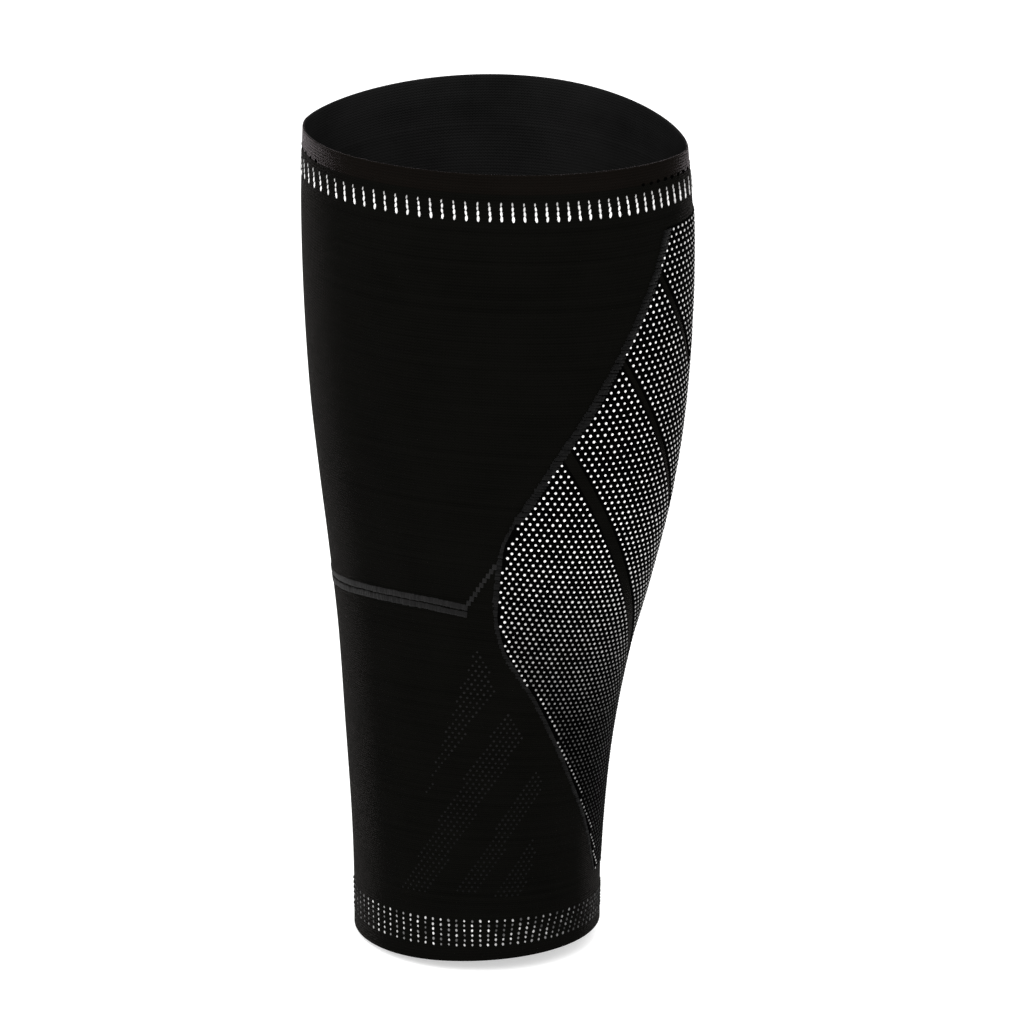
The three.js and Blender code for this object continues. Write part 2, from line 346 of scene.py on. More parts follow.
def feed(tree, socket, value):
    """Links an output to a socket, or sets the socket to a plain value."""
    if isinstance(value, bpy.types.NodeSocket):
        tree.links.new(value, socket)
    else:
        socket.default_value = value


def calc(tree, kind, *values):
    """One step of arithmetic on outputs and plain numbers."""
    node = put(tree, "ShaderNodeMath", operation=kind)
    for socket, value in zip(node.inputs, values):
        feed(tree, socket, value)
    return node.outputs[0]


# %% Knit relief as a node group
LEG_SLANT = 1.1  # how far a leg of the V climbs, in courses for one wale


def knit_relief():
    """A group: stitch UV in, height of the yarn out, from 0 in the gaps to 1 on a leg."""
    group = bpy.data.node_groups.new("knit_relief", "ShaderNodeTree")
    group.interface.new_socket("Stitch", in_out="INPUT", socket_type="NodeSocketVector")
    group.interface.new_socket("Height", in_out="OUTPUT", socket_type="NodeSocketFloat")
    come, go = put(group, "NodeGroupInput"), put(group, "NodeGroupOutput")
    split = put(group, "ShaderNodeSeparateXYZ")
    feed(group, split.inputs[0], come.outputs[0])
    across, along = split.outputs[0], split.outputs[1]

    def wave(value, turns):
        return calc(group, "ABSOLUTE", calc(group, "SINE", calc(group, "MULTIPLY", value, turns * math.pi)))

    from_middle = calc(group, "ABSOLUTE", calc(group, "SUBTRACT", calc(group, "FRACT", across), 0.5))
    leg = wave(calc(group, "ADD", along, calc(group, "MULTIPLY", from_middle, -LEG_SLANT)), 1)
    side = wave(across, 2)
    height = calc(group, "MULTIPLY", calc(group, "POWER", leg, 0.7), calc(group, "POWER", side, 0.35))
    feed(group, go.inputs[0], height)
    return group


KNIT = knit_relief()
print("relief group with", len(KNIT.nodes), "nodes")


# %% Parts that the finishes share
def new_finish(name, rough, specular, sheen=0.0):
    finish = bpy.data.materials.new(name)
    finish.use_nodes = True
    shader = finish.node_tree.nodes["Principled BSDF"]
    shader.inputs["Roughness"].default_value = rough
    shader.inputs["Specular IOR Level"].default_value = specular
    shader.inputs["Sheen Weight"].default_value = sheen
    return finish, finish.node_tree, shader


def noise(tree, place, scale, detail, dimensions="3D"):
    """Soft noise: over a place in 3D, or along one number in 1D."""
    node = put(tree, "ShaderNodeTexNoise", noise_dimensions=dimensions)
    node.inputs["Scale"].default_value = scale
    node.inputs["Detail"].default_value = detail
    feed(tree, node.inputs["W" if dimensions == "1D" else "Vector"], place)
    return node.outputs["Fac"]


def raise_yarn(tree, shader, height, strength, distance):
    """Turns a height into relief on the finish."""
    bump = put(tree, "ShaderNodeBump")
    bump.inputs["Strength"].default_value = strength
    bump.inputs["Distance"].default_value = distance
    feed(tree, bump.inputs["Height"], height)
    feed(tree, shader.inputs["Normal"], bump.outputs[0])


def ranged(tree, value, low, high, new_low=0.0, new_high=1.0):
    node = put(tree, "ShaderNodeMapRange")
    for label, end in (("From Min", low), ("From Max", high), ("To Min", new_low), ("To Max", new_high)):
        node.inputs[label].default_value = end
    feed(tree, node.inputs["Value"], value)
    return node.outputs[0]


# %% Black knit
def knit_finish(name, dark, light, sheen, tint, specular=0.01, sheen_rough=0.15, bands=0.5):
    """Fine plain knit: two near tones of one yarn, loop relief, and fibre sheen. The tone is uneven in
    patches, and is painted darker in the gaps between the loops as painted shade.

    Bands says how much of the unevenness goes from course to course, not in patches.
    """
    finish, tree, shader = new_finish(name, 0.95, specular, sheen)
    shader.inputs["Sheen Roughness"].default_value = sheen_rough
    shader.inputs["Sheen Tint"].default_value = (*tint, 1)
    stitch = put(tree, "ShaderNodeUVMap", uv_map="stitches")
    knit = put(tree, "ShaderNodeGroup", node_tree=KNIT)
    feed(tree, knit.inputs[0], stitch.outputs[0])
    split = put(tree, "ShaderNodeSeparateXYZ")
    feed(tree, split.inputs[0], stitch.outputs[0])
    uneven = noise(tree, put(tree, "ShaderNodeTexCoord").outputs["Object"], 55, 4)
    course = noise(tree, split.outputs[1], 0.45, 3, "1D")
    patches = calc(tree, "MULTIPLY_ADD", uneven, 1 - bands, calc(tree, "MULTIPLY", course, bands))
    ramp = put(tree, "ShaderNodeValToRGB")
    for stop, place, tone in zip(ramp.color_ramp.elements, (0.35, 1.0), (dark, light)):
        stop.position, stop.color = place, (*tone, 1)
    # Painted shade: the height of the knit makes the colour darker in the gaps between the loops.
    feed(tree, ramp.inputs[0], calc(tree, "MULTIPLY_ADD", knit.outputs[0], 0.55, patches))
    feed(tree, shader.inputs["Base Color"], ramp.outputs[0])
    raise_yarn(tree, shader, knit.outputs[0], 0.5, 0.35 * MM)
    return finish


plain_black = knit_finish("plain_black_knit", (0.0010, 0.0010, 0.0008), (0.0027, 0.0026, 0.0022),
                          0.085, (1.0, 0.92, 0.90), sheen_rough=0.08)
cuff_black = knit_finish("cuff_brown_black_knit", (0.0015, 0.0012, 0.0010), (0.0040, 0.0032, 0.0026),
                         0.42, (1.0, 0.90, 0.94), sheen_rough=0.12)
# Painted light: the same black yarn as the outside, made about four times lighter and neutral grey, so the
# inner face shows brighter than the outer one.
inside_black = knit_finish("inside_knit", (0.0045, 0.0045, 0.0045), (0.0125, 0.0125, 0.0125),
                           0.0, (1, 1, 1), specular=0.0, bands=0.12)
# Painted shade: darker than the plain knit, for the shade that the white dots cast on the ground between
# them. The welt's picots use it as well.
field_black = knit_finish("dotted_ground_knit", (0.0003, 0.0003, 0.0003), (0.0009, 0.0009, 0.0009),
                          0.01, (1, 0.97, 0.96), specular=0.0)
print("four black finishes")


# %% White and grey yarn
def yarn_finish(name, dim, bright, specular):
    """Yarn of single stitches: each has its own tone, and is darker towards its rim, partly where the black
    yarn crosses it and partly painted shade where it dips into the knit.
    """
    finish, tree, shader = new_finish(name, 0.7, specular, 0.03)
    tone = put(tree, "ShaderNodeAttribute", attribute_name="tone").outputs["Fac"]
    rise = put(tree, "ShaderNodeAttribute", attribute_name="rise").outputs["Fac"]
    fibres = noise(tree, put(tree, "ShaderNodeTexCoord").outputs["Object"], 2200, 2)
    mix = put(tree, "ShaderNodeMix", data_type="RGBA")
    mix.inputs[6].default_value, mix.inputs[7].default_value = (*dim, 1), (*bright, 1)
    # Partly painted shade: the tone falls towards the rim of each stitch, where it dips into the knit.
    feed(tree, mix.inputs[0], calc(tree, "MULTIPLY", tone, ranged(tree, rise, 0.15, 0.9)))
    shade = put(tree, "ShaderNodeHueSaturation")
    feed(tree, shade.inputs["Value"], ranged(tree, fibres, 0, 1, 0.7, 1.25))
    feed(tree, shade.inputs["Color"], mix.outputs[2])
    feed(tree, shader.inputs["Base Color"], shade.outputs[0])
    raise_yarn(tree, shader, fibres, 0.4, 0.1 * MM)
    return finish


white_yarn = yarn_finish("white_yarn", (0.002, 0.002, 0.002), (0.92, 0.91, 0.90), 0.05)
grey_yarn = yarn_finish("grey_yarn", (0.001, 0.001, 0.001), (0.022, 0.0212, 0.0212), 0.03)
print("two yarn finishes")

# %% [markdown]
# ## The leg tube
# On the real sleeve the tube is one continuous knit, also under the dots, so it is one
# closed shell here: an outer face, an inner face 1.4 mm in, and two edges that meet
# the cuffs. The outer face gets a grid fine enough to keep its courses round.

# %% Knit the leg tube
ANKLE_CUFF, TOP_CUFF = 18.5, 280.0  # heights where the cuffs join the tube
WALL, FINE_ROW = 1.4, 1.9


def tube_profile(low, high):
    """Up the outer face in fine rows, and down the inner face in rows twice as high."""
    rows = int((high - low) / FINE_ROW) + 1
    outer = [(h, 0.0) for h in np.linspace(low, high, rows)]
    inner = [(h, -WALL) for h in np.linspace(high, low, int((high - low) / (2 * FINE_ROW)) + 1)]
    return outer + inner, rows


profile, outer_rows = tube_profile(ANKLE_CUFF, TOP_CUFF)
leg = band("leg_knit", profile, (plain_black, inside_black), lambda i: 0 if i < outer_rows else 1)
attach(leg, "root")
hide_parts("leg_tube")

# %% [markdown]
# ## The two cuffs
# Each cuff is the tube folded double: a soft roll at the free rim and a flat band that
# runs on into the tube without a step. A profile of heights and lifts says it all, and
# the same band helper carries it round the leg.


# %% Knit the cuffs
PUFF, ROLL = 0.1, 0.5   # lift of a cuff's outer face, and radius of its rolled rim
EASE = 8                # over this height a cuff eases into the tube
WELT = 290.5            # the welt of the knee cuff goes from here to its rim
INSIDE = -0.35          # what lies deeper than this is the cuff's inside


def cuff_profile(rim, join):
    """From the join to the rim on the outside, over a thin roll, and back inside."""
    way = 1 if rim > join else -1
    outer = [(h, PUFF * min(abs(h - join) / EASE, 1)) for h in np.linspace(join, rim - way * ROLL, 12)]
    roll = [(rim - way * ROLL * (1 - math.sin(turn)), PUFF - ROLL + ROLL * math.cos(turn))
            for turn in np.linspace(0, math.pi, 9)[1:-1]]
    inner = [(rim - way * down, PUFF - 2 * ROLL - 0.4 * min(down / EASE, 1))
             for down in np.linspace(ROLL, abs(rim - join), 10)]
    inner[-1] = (join, -WALL)
    return (outer + roll + inner) if way > 0 else (outer + roll + inner)[::-1]


def cuff(name, rim, join, welt):
    """A cuff whose outer face is brown-black above the height of its welt."""
    profile = cuff_profile(rim, join)

    def finish_of(i):
        height, lift = profile[i]
        if lift < INSIDE:
            return 2
        return 0 if height > welt else 1

    return band(name, profile, (cuff_black, plain_black, inside_black), finish_of, folded=True)


top = cuff("top_cuff_knit", LENGTH, TOP_CUFF, WELT)
ankle = cuff("ankle_cuff_knit", 0, ANKLE_CUFF, ANKLE_CUFF)  # the ankle cuff shows no welt
for piece, node in ((top, "top_cuff"), (ankle, "ankle_cuff")):
    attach(piece, "root")
    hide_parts(node)

# %% [markdown]
# ## Four dotted fields
# Where the white yarn comes to the front, the knit is a little thicker and its black
# ground darker, because the dots shade it. Each field is a closed skin that stands
# 0.35 mm proud and rolls down into the tube at its edges. Columns run across, and
# each column has its own lowest and highest row from the chart.


# %% Reach of the fields
CHEVRON_MARGIN, EDGE_MARGIN = 1.4, 0.5  # rows that a skin goes past its dots, or stays inside the edge
TOP_MARGIN, LOW_MARGIN = 0.6, 0.8       # rows that it goes past the panel's ends
SMALLEST = 0.9                          # rows that a column of skin has at least


def field_rows(name, column):
    """The lowest and the highest row of a field's skin in one column."""
    low, high = FIELDS[name]
    k = abs(column)
    top_row = min(TOP_ROW + TOP_MARGIN, edge_row(k, True) - EDGE_MARGIN, high + CHEVRON_MARGIN + k)
    low_row = max(LOW_ROW - LOW_MARGIN, edge_row(k, False) + EDGE_MARGIN, low - CHEVRON_MARGIN + k)
    return low_row, top_row


def field_reach(name):
    """How many columns out a field goes before its skin gets too low."""
    columns = np.arange(0, 57.01, 0.25)
    spans = [field_rows(name, k) for k in columns]
    return max(k for k, (low, high) in zip(columns, spans) if high - low > SMALLEST)


print("reach of the fields:", [float(field_reach(name)) for name in FIELDS])

# %% Knit the fields
SKIN_RIM, SKIN_RISE, SKIN_BACK = -0.25, 0.6, -0.7  # lifts in mm


def field_skin(name, node):
    reach = field_reach(name)
    ks = np.linspace(-reach, reach, int(reach * 2) + 1)
    spans = [field_rows(name, k) for k in ks]
    low, high = np.array(spans).T
    count = max(12, int(max(high - low) * 1.1))
    rim_shares = np.array([0, 0.25, 0.8]) / count
    shares = np.concatenate([rim_shares, np.linspace(1.5 / count, 1 - 1.5 / count, count),
                             1 - rim_shares[::-1]])
    rows = low + (high - low) * shares[:, None]
    to_side = np.minimum(np.arange(len(ks)), np.arange(len(ks))[::-1])[None, :] * 1.1
    to_end = np.minimum(rows - low, high - rows) * 1.7
    near = np.clip(np.minimum(to_side, to_end), 0, 1)
    lift = SKIN_RIM + SKIN_RISE * np.sqrt(near * (2 - near))
    outer = at_stitch(np.broadcast_to(ks, rows.shape), height_of(rows), lift)[0]
    inner = at_stitch(np.broadcast_to(ks, rows.shape), height_of(rows), SKIN_BACK)[0]
    n, m = rows.shape
    index = np.arange(n * m).reshape(n, m)
    a, b, c, d = index[:-1, :-1], index[:-1, 1:], index[1:, 1:], index[1:, :-1]
    faces = np.stack([a, b, c, d], -1).reshape(-1, 4)
    back_faces = faces[:, ::-1] + n * m
    rim = np.concatenate([index[0, :], index[1:, -1], index[-1, -2::-1], index[-2:0:-1, 0]])
    after = np.roll(rim, -1)
    rim_faces = np.stack([after, rim, rim + n * m, after + n * m], -1)
    faces = np.concatenate([faces, back_faces, rim_faces])
    stitch = np.stack([np.broadcast_to(ks, rows.shape) * WALES, rows * COURSES], -1).reshape(-1, 2)
    uv = np.concatenate([stitch, stitch])[faces.ravel()]
    piece = make_mesh(name, np.concatenate([outer.reshape(-1, 3), inner.reshape(-1, 3)]), faces, uv,
                      (field_black,))
    face_outwards(piece)
    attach(piece, "root")
    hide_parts(node)
    return piece


for number, name in enumerate(FIELDS, 1):
    field_skin(name, f"calf_pad_{number}")

# %% [markdown]
# ## One tree for all the surface stitches
# A dot, a dash loop and a grey edge stitch are the same thing: a low bump of yarn on
# the cloth. So one Geometry Nodes tree makes them all. It takes a mesh of points that
# carry the cloth's normal and way round, sets a small closed bump on each, varies its
# size, lean and tone with a fixed seed, then realizes them into one mesh.


# %% Nodes that the stitch tree repeats
def attribute(tree, name, kind="FLOAT"):
    node = put(tree, "GeometryNodeInputNamedAttribute", data_type=kind)
    node.inputs["Name"].default_value = name
    return node.outputs["Attribute"]


def store(tree, geometry, name, value):
    """Keeps a number on every point of a geometry under a name."""
    node = put(tree, "GeometryNodeStoreNamedAttribute", data_type="FLOAT")
    node.inputs["Name"].default_value = name
    feed(tree, node.inputs["Geometry"], geometry)
    feed(tree, [s for s in node.inputs if s.name == "Value" and s.enabled][0], value)
    return node.outputs["Geometry"]


def chance(tree, come, draw):
    """A number from -1 to 1 for each point, fixed by the seed and the number of the draw."""
    seed = put(tree, "FunctionNodeIntegerMath", operation="ADD")
    feed(tree, seed.inputs[0], come.outputs["Seed"])
    feed(tree, seed.inputs[1], draw)
    node = put(tree, "FunctionNodeRandomValue", data_type="FLOAT")
    feed(tree, node.inputs["Seed"], seed.outputs[0])
    low, high = [s for s in node.inputs if s.name in ("Min", "Max") and s.type == "VALUE"]
    low.default_value, high.default_value = -1, 1
    return [s for s in node.outputs if s.type == "VALUE"][0]


def varied(tree, come, base, draw, setting):
    """A value changed by chance, by up to the share that a setting holds."""
    change = calc(tree, "MULTIPLY", chance(tree, come, draw), come.outputs[setting])
    return calc(tree, "MULTIPLY", base, calc(tree, "ADD", 1, change))


def vector_calc(tree, kind, a, b):
    node = put(tree, "ShaderNodeVectorMath", operation=kind)
    feed(tree, node.inputs[0], a)
    feed(tree, node.inputs["Scale"] if kind == "SCALE" else node.inputs[1], b)
    return node.outputs[0]


# %% Place, turn and shape of one stitch
def drifted_points(tree, come, normal, across):
    """The points, each moved a little along the cloth, with its tone changed a little."""
    upward = vector_calc(tree, "CROSS_PRODUCT", normal, across)
    moves = []
    for draw, way in ((1, across), (2, upward)):
        amount = calc(tree, "MULTIPLY", chance(tree, come, draw), come.outputs["Drift"])
        moves.append(vector_calc(tree, "SCALE", way, amount))
    drift = put(tree, "GeometryNodeSetPosition")
    feed(tree, drift.inputs["Geometry"], come.outputs["Points"])
    feed(tree, drift.inputs["Offset"], vector_calc(tree, "ADD", *moves))
    tone = varied(tree, come, attribute(tree, "tone"), 3, "Tone change")
    return store(tree, drift.outputs[0], "tone", tone)


def stitch_size(tree, come):
    """Width, height and thickness of each stitch."""
    size = varied(tree, come, attribute(tree, "size"), 4, "Uneven")
    sizes = put(tree, "ShaderNodeCombineXYZ")
    for socket, label in zip(sizes.inputs, ("Wide", "Tall", "Thick")):
        feed(tree, socket, calc(tree, "MULTIPLY", size, come.outputs[label]))
    return sizes.outputs[0]


def stitch_turn(tree, come, normal, across):
    """Lays a stitch on the cloth and leans it a little."""
    turn = put(tree, "FunctionNodeAxesToRotation", primary_axis="Z", secondary_axis="X")
    feed(tree, turn.inputs[0], normal)
    feed(tree, turn.inputs[1], across)
    spin = put(tree, "FunctionNodeAxisAngleToRotation")
    spin.inputs["Axis"].default_value = (0, 0, 1)
    feed(tree, spin.inputs["Angle"], calc(tree, "MULTIPLY", chance(tree, come, 5), come.outputs["Lean"]))
    rotate = put(tree, "FunctionNodeRotateRotation", rotation_space="LOCAL")
    feed(tree, rotate.inputs[0], turn.outputs[0])
    feed(tree, rotate.inputs[1], spin.outputs[0])
    return rotate.outputs[0]


def stitch_shape(tree, come):
    """A dome or a square pad of size 1 that keeps how high each of its points rises."""
    dome = put(tree, "GeometryNodeMeshUVSphere")
    for label, value in (("Segments", 8), ("Rings", 4), ("Radius", 0.5)):
        dome.inputs[label].default_value = value
    pad = put(tree, "GeometryNodeMeshCube")
    for label, value in (("Vertices X", 4), ("Vertices Y", 4), ("Vertices Z", 2), ("Size", (1, 1, 1))):
        pad.inputs[label].default_value = value
    choose = put(tree, "GeometryNodeSwitch", input_type="GEOMETRY")
    feed(tree, choose.inputs["Switch"], come.outputs["Square"])
    feed(tree, choose.inputs["False"], dome.outputs["Mesh"])
    feed(tree, choose.inputs["True"], pad.outputs["Mesh"])
    split = put(tree, "ShaderNodeSeparateXYZ")
    feed(tree, split.inputs[0], put(tree, "GeometryNodeInputPosition").outputs[0])
    return store(tree, choose.outputs[0], "rise", calc(tree, "MULTIPLY", split.outputs[2], 2.0))


# %% Build the stitch tree
def stitch_tree():
    tree = bpy.data.node_groups.new("surface_stitches", "GeometryNodeTree")
    face = tree.interface
    face.new_socket("Points", in_out="INPUT", socket_type="NodeSocketGeometry")
    for label, value in (("Wide", 0.001), ("Tall", 0.001), ("Thick", 0.001), ("Uneven", 0.15),
                         ("Lean", 0.1), ("Drift", 0.0001), ("Tone change", 0.2)):
        face.new_socket(label, in_out="INPUT", socket_type="NodeSocketFloat").default_value = value
    face.new_socket("Seed", in_out="INPUT", socket_type="NodeSocketInt").default_value = 1
    face.new_socket("Square", in_out="INPUT", socket_type="NodeSocketBool").default_value = False
    face.new_socket("Finish", in_out="INPUT", socket_type="NodeSocketMaterial")
    face.new_socket("Stitches", in_out="OUTPUT", socket_type="NodeSocketGeometry")
    come, go = put(tree, "NodeGroupInput"), put(tree, "NodeGroupOutput")
    across = attribute(tree, "across", "FLOAT_VECTOR")
    normal = attribute(tree, "facing", "FLOAT_VECTOR")
    place = put(tree, "GeometryNodeInstanceOnPoints")
    feed(tree, place.inputs["Points"], drifted_points(tree, come, normal, across))
    feed(tree, place.inputs["Instance"], stitch_shape(tree, come))
    feed(tree, place.inputs["Rotation"], stitch_turn(tree, come, normal, across))
    feed(tree, place.inputs["Scale"], stitch_size(tree, come))
    real = put(tree, "GeometryNodeRealizeInstances")
    feed(tree, real.inputs[0], place.outputs[0])
    smooth = put(tree, "GeometryNodeSetShadeSmooth")
    feed(tree, smooth.inputs["Geometry"], real.outputs[0])
    finish = put(tree, "GeometryNodeSetMaterial")
    feed(tree, finish.inputs["Geometry"], smooth.outputs[0])
    feed(tree, finish.inputs["Material"], come.outputs["Finish"])
    feed(tree, go.inputs[0], finish.outputs[0])
    return tree


STITCHES = stitch_tree()
print("stitch tree with", len(STITCHES.nodes), "nodes")


# %% Set stitches on points
def set_stitches(name, columns, heights, tones, sizes, lift, finish, slot, **settings):
    """Points from the chart, dressed by the tree and turned into one plain mesh."""
    place, facing, across = at_stitch(columns, heights, lift)
    mesh = bpy.data.meshes.new(name + "_points")
    mesh.from_pydata([tuple(p) for p in place * MM], [], [])
    for label, values, kind in (("facing", facing, "FLOAT_VECTOR"), ("across", across, "FLOAT_VECTOR"),
                                ("tone", tones, "FLOAT"), ("size", sizes, "FLOAT")):
        layer = mesh.attributes.new(label, kind, "POINT")
        field = "vector" if kind == "FLOAT_VECTOR" else "value"
        shape = np.shape(place) if field == "vector" else np.shape(place)[:1]
        values = np.broadcast_to(values, shape)
        layer.data.foreach_set(field, np.ascontiguousarray(values, np.float32).ravel())
    holder = bpy.data.objects.new(name + "_points", mesh)
    bpy.context.scene.collection.objects.link(holder)
    modifier = holder.modifiers.new("stitches", "NODES")
    modifier.node_group = STITCHES
    sockets = {s.name: s.identifier for s in STITCHES.interface.items_tree if s.in_out == "INPUT"}
    for label, value in dict(settings, Finish=finish).items():
        modifier[sockets[label.replace("_", " ")]] = value
    shown = holder.evaluated_get(bpy.context.evaluated_depsgraph_get())
    plain = bpy.data.meshes.new_from_object(shown)
    holder.modifiers.remove(modifier)
    bpy.data.objects.remove(holder)
    for label in ("facing", "across", "size"):
        if label in plain.attributes:
            plain.attributes.remove(plain.attributes[label])
    plain.name = name
    piece = bpy.data.objects.new(name, plain)
    bpy.context.scene.collection.objects.link(piece)
    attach(piece, "root")
    print(name, len(place), "stitches,", len(plain.polygons), "faces")
    return piece


# %% [markdown]
# ## White dots of the calf panel
# A dot is one loop of white yarn that comes to the front on every second column and
# row, like the black squares of a chessboard. It is about 1.1 mm across and dips under
# the black yarn at its rim. The dots are painted dimmer towards the ankle and towards
# the middle of the calf: painted shade, where the leg gets less light.
# Near the ankle they sink into this shade, all but the outermost of each row.

# %% Knit the dots
OUTERMOST = 2.8  # a dot within so many columns of the edge is the last of its row
all_columns, all_rows = np.meshgrid(np.arange(-57, 58), np.arange(14, 147))
even = (all_columns + all_rows) % 2 == 0
for number, name in enumerate(FIELDS, 1):
    mine = even & in_field(name, all_columns, all_rows)
    k, r = all_columns[mine].astype(float), all_rows[mine].astype(float)
    h = height_of(r)
    # Painted shade: the tone falls towards the ankle and towards the middle column of the calf.
    bright = (np.interp(h, [20, 60, 90, 120, 160], [0.01, 0.02, 0.08, 0.4, 1.0])
              * np.interp(np.abs(k), [0, 10, 25], [0.5, 0.7, 1.0]))
    outermost = edge_column(r) - np.abs(k) < OUTERMOST
    edge_bright = np.interp(h, [20, 50, 90, 130], [0.5, 0.15, 0.35, 0.9])
    bright = np.where(outermost, np.maximum(bright, edge_bright), bright)
    size = np.interp(h, [20, 80, 140], [0.8, 0.9, 1.0])
    set_stitches(f"calf_dots_{number}", k, h, bright, size, 0.3, white_yarn, "dotted_knit", Wide=1.1 * MM,
                 Tall=1.15 * MM, Thick=0.5 * MM, Uneven=0.14, Lean=0.3, Drift=0.06 * MM, Tone_change=0.2,
                 Seed=number)

# %% [markdown]
# ## Grey edge of the panel and the shin line
# The edge is a run of short grey stitches, two for each row of dots, so the line
# climbs in fine steps. Above the widest place it is two stitches wide and lies on the
# field, against the first dots. At the front a double grey ridge goes round the shin
# and steps up on each side until it meets the panel's edge.

# %% Knit the edge
CLIMB = [92, 100]  # between these rows the line climbs onto the field
edge_rows = np.arange(LOW_ROW, TOP_ROW + 0.2, 0.5)
inner_rows = edge_rows[edge_rows > CLIMB[0]]
chart_rows = np.concatenate([edge_rows, inner_rows])
inwards = np.concatenate([np.interp(edge_rows, CLIMB, [0, 0.6]), np.interp(inner_rows, CLIMB, [0.3, 1.5])])
edge = edge_column(chart_rows) - inwards
edge_heights = height_of(chart_rows)
edge_lifts = np.interp(chart_rows, CLIMB, [-0.1, 0.18])
edge_tones = np.interp(chart_rows, [17, 50, 90, 100, 145], [0.05, 0.1, 0.12, 0.08, 0.09])
set_stitches("panel_edge", np.concatenate([edge, -edge]), np.tile(edge_heights, 2), np.tile(edge_tones, 2),
             1.0, np.tile(edge_lifts, 2), grey_yarn, "plain_knit", Wide=2.0 * MM, Tall=0.85 * MM,
             Thick=0.5 * MM, Uneven=0.15, Lean=0.05, Drift=0.2 * MM, Tone_change=0.6, Seed=11, Square=True)

# %% Knit the shin line
SHIN_END = 65  # column where the line stops on each side
shin = np.arange(SHIN_END, 2 * COLUMNS - SHIN_END + 0.2, 2 / 3)
shin = np.where(shin > COLUMNS, shin - 2 * COLUMNS, shin)
ridge = np.interp(np.abs(shin), [65, 76, 85, 95, 110, 120], [132.8, 133.9, 134, 133.6, 132, 131])
gap = np.interp(np.abs(shin), [65, 85, 95, 120], [2.8, 2.6, 2.7, 3.2])
shin_tones = np.interp(np.abs(shin), [65, 100, 112, 120], [0.33, 0.35, 0.6, 1.0])
set_stitches("shin_line", np.tile(shin, 2), np.concatenate([ridge, ridge - gap]),
             np.concatenate([shin_tones, 0.85 * shin_tones]), 1.0, -0.05, grey_yarn,
             "plain_knit", Wide=1.05 * MM, Tall=2.15 * MM, Thick=0.5 * MM, Uneven=0.08, Lean=0.08,
             Drift=0.08 * MM, Tone_change=0.25, Seed=12, Square=True)
step_rows = np.arange(81, 90).astype(float)
step_columns = np.interp(step_rows, [80.6, 89.1], [64.7, 58.2])
set_stitches("shin_steps", np.concatenate([step_columns, -step_columns]), np.tile(height_of(step_rows), 2),
             0.33, 1.0, -0.05, grey_yarn, "plain_knit", Wide=1.5 * MM, Tall=1.9 * MM, Thick=0.5 * MM,
             Uneven=0.06, Lean=0.08, Drift=0.1 * MM, Tone_change=0.25, Seed=13, Square=True)

# %% [markdown]
# ## Rings on the cuffs
# Under the knee rim the white yarn makes a ring of upright dashes, each three or four
# long loops, the top one small. At the shin and the calf, black picots close the welt
# just above them. Over the ankle rim the white yarn makes columns of six small dots.

# %% Knit the knee ring
RING = 90  # dashes, and columns of dots, in one turn
steps = (np.arange(RING) - (RING - 1) / 2) * 2 * COLUMNS / RING
loop_heights = np.array([282.6, 284.4, 286.1, 287.6])
loop_sizes, loop_tones = np.array([1.12, 1.0, 0.92, 0.72]), np.array([1.0, 0.9, 0.75, 0.5])
loop_shifts = np.array([0.0, 0.12, 0.2, 0.36])
lean = np.interp(np.abs(steps), [0, 60, 85, 105, 115], [0.3, 0.3, 1.2, 2.5, 4.0]) * np.sign(steps)
loop_columns = steps[None, :] + loop_shifts[:, None] * lean[None, :]
# Painted shade: the dashes are dimmer towards the middle of the calf, on the side that turns from the
# light.
dash_tones = loop_tones[:, None] * np.interp(np.abs(steps), [0, 25], [0.6, 1.0])[None, :]
set_stitches("knee_dashes", loop_columns.ravel(), np.repeat(loop_heights, RING), dash_tones.ravel(),
             np.repeat(loop_sizes, RING), 0.12, white_yarn, "cuff_knit", Wide=1.0 * MM, Tall=2.35 * MM,
             Thick=0.55 * MM, Uneven=0.1, Lean=0.2, Drift=0.08 * MM, Tone_change=0.25, Seed=21)
picots = steps[(np.abs(steps) < 22) | (np.abs(steps) > 104)]
set_stitches("welt_picots", picots, np.full(len(picots), WELT + 0.5), 0.0, 1.0, 0.05, field_black,
             "cuff_knit", Wide=1.9 * MM, Tall=1.4 * MM, Thick=0.5 * MM, Uneven=0.15, Lean=0.3,
             Drift=0.15 * MM, Tone_change=0.8, Seed=23)

# %% Knit the ankle ring
dot_heights = np.array([6.3, 8.1, 9.9, 11.7, 13.5, 15.3])
# Painted shade: the dots are dimmer towards the calf, on the side that turns from the light. They are also
# dimmer towards the shin.
ring_tones = np.interp(np.abs(steps), [0, 22, 34, 50, 80, 98, 103, 120],
                       [0.03, 0.06, 0.2, 0.4, 0.5, 0.4, 0.1, 0.06])
dot_lean = np.interp(np.abs(steps), [0, 12, 24, 45, 60], [0, 3.5, 3, 1, 0]) * np.sign(steps)
dot_columns = steps[None, :] - (dot_heights[:, None] - 6) / 9 * dot_lean[None, :]
set_stitches("ankle_dots", dot_columns.ravel(), np.repeat(dot_heights, RING),
             np.tile(ring_tones, len(dot_heights)), 1.0, 0.1, white_yarn, "cuff_knit", Wide=0.9 * MM,
             Tall=1.25 * MM, Thick=0.5 * MM, Uneven=0.18, Lean=0.3, Drift=0.1 * MM, Tone_change=0.85,
             Seed=22)

# %% [markdown]
# ## Breathing stripes
# Low on the shin side, black dots on the black knit make slanting stripes. They are
# dots of the same chart, seen only by their relief and a slightly greyer yarn.

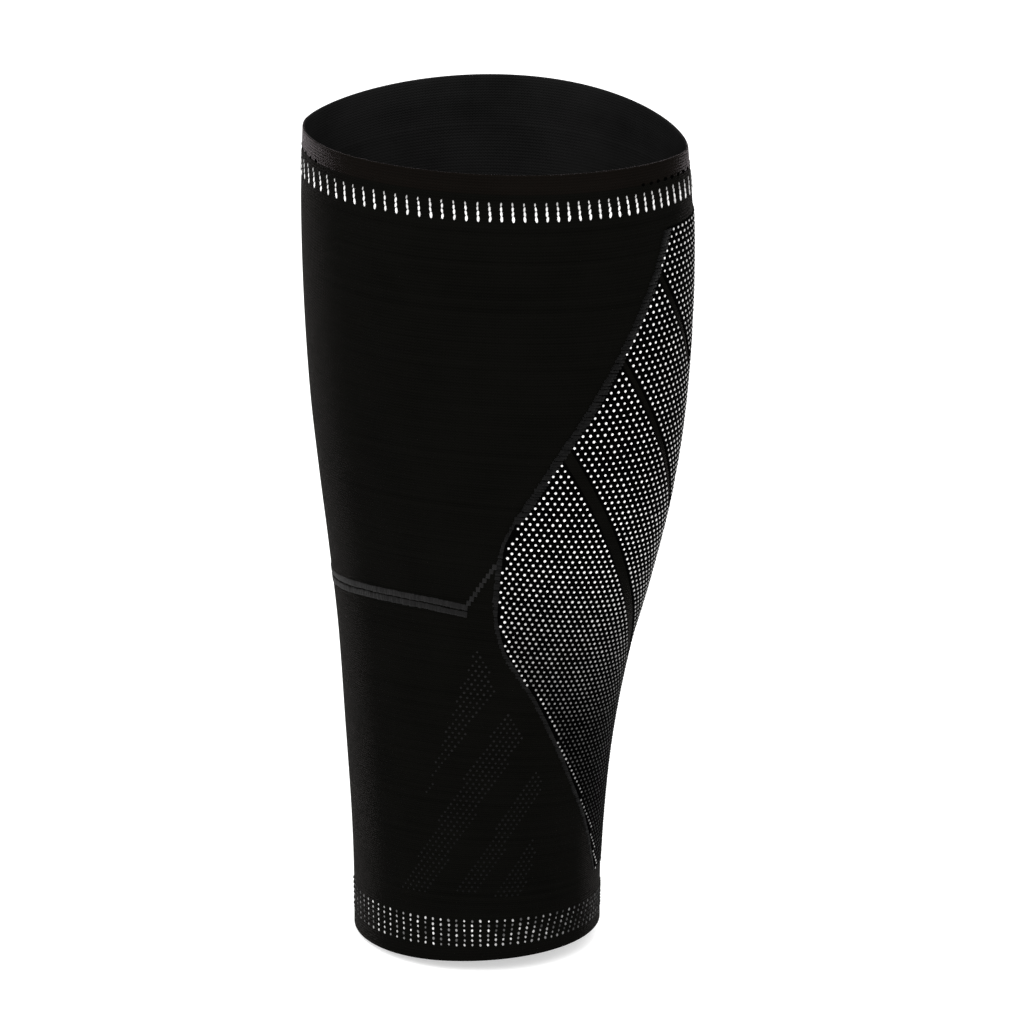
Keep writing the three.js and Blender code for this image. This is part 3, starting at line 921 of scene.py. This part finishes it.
# %% Knit the stripes
BORDER = 0.3  # dots this little outside a stripe still count
STRIPES = [  # corners of each stripe: column, row
    [(61.0, 72.6), (75.5, 38.0), (54.2, 63.5)],
    [(50.4, 59.0), (84.5, 16.0), (74.5, 16.0), (44.0, 53.0)],
    [(38.5, 47.0), (66.0, 16.5), (58.0, 16.5), (36.2, 41.8)],
    [(38.9, 30.5), (52.5, 15.5), (43.0, 15.5), (37.5, 25.0)]]
vent_columns, vent_rows = np.meshgrid(np.arange(30, 93), np.arange(15, 73))
in_stripe = np.zeros(vent_columns.shape, bool)
for corners in STRIPES:
    inside = np.ones(vent_columns.shape, bool)
    for (k1, r1), (k2, r2) in zip(corners, corners[1:] + corners[:1]):
        inside &= (k2 - k1) * (vent_rows - r1) - (r2 - r1) * (vent_columns - k1) <= BORDER
    in_stripe |= inside
in_stripe &= (vent_columns + vent_rows) % 2 == 0
k, h = vent_columns[in_stripe].astype(float), height_of(vent_rows[in_stripe].astype(float))
faint = np.interp(h, [20, 60, 120], [0.05, 0.12, 0.38])
set_stitches("breathing_stripes", np.concatenate([k, -k]), np.tile(h, 2), np.tile(faint, 2), 1.0, -0.12,
             grey_yarn, "plain_knit", Wide=1.1 * MM, Tall=1.15 * MM, Thick=0.45 * MM, Uneven=0.12, Lean=0.3,
             Drift=0.05 * MM, Tone_change=0.3, Seed=31)

# %% [markdown]
# ## Floor and light
# The picture has a white ground and no hard shadow: a bright sweep in a room of white
# walls. So the world is white and the floor pale and faintly bright by itself. A large
# soft light adds shape from above, and a weak one at the left brings out the loops.

# %% Floor and world
FLOOR, FLOOR_GAP = 30, 0.0003  # half the side of the floor and its gap under the rim, in metres
floor_mesh = bpy.data.meshes.new("floor")
low_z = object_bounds()[0][2] - FLOOR_GAP
corners = [(-FLOOR, -FLOOR, low_z), (FLOOR, -FLOOR, low_z), (FLOOR, FLOOR, low_z), (-FLOOR, FLOOR, low_z)]
floor_mesh.from_pydata(corners, [], [(0, 1, 2, 3)])
floor = bpy.data.objects.new("floor", floor_mesh)
bpy.context.scene.collection.objects.link(floor)
pale, _, floor_shader = new_finish("pale_floor", 1.0, 0.0)
floor_shader.inputs["Base Color"].default_value = (0.72, 0.72, 0.72, 1)
floor_shader.inputs["Emission Color"].default_value = (1, 1, 1, 1)
floor_shader.inputs["Emission Strength"].default_value = 0.45
floor_mesh.materials.append(pale)

world = bpy.data.worlds.new("white_room")
bpy.context.scene.world = world
world.use_nodes = True
world.node_tree.nodes["Background"].inputs["Color"].default_value = (1, 1, 1, 1)
world.node_tree.nodes["Background"].inputs["Strength"].default_value = 1.0
print("floor at", round(low_z / MM, 1), "mm")


# %% Soft lights
def soft_light(name, place, size, power):
    data = bpy.data.lights.new(name, "AREA")
    data.shape, data.size, data.energy = "DISK", size, power
    lamp = bpy.data.objects.new(name, data)
    lamp.location = place
    lamp.rotation_euler = (MIDDLE - lamp.location).to_track_quat("-Z", "Y").to_euler()
    bpy.context.scene.collection.objects.link(lamp)
    print(name, power, "W")


soft_light("light_above", (1.0, 0.25, 2.3), 3.0, 66)
soft_light("light_left", (0.9, -2.0, 1.2), 1.2, 10)
bpy.context.scene.view_settings.view_transform = "Standard"
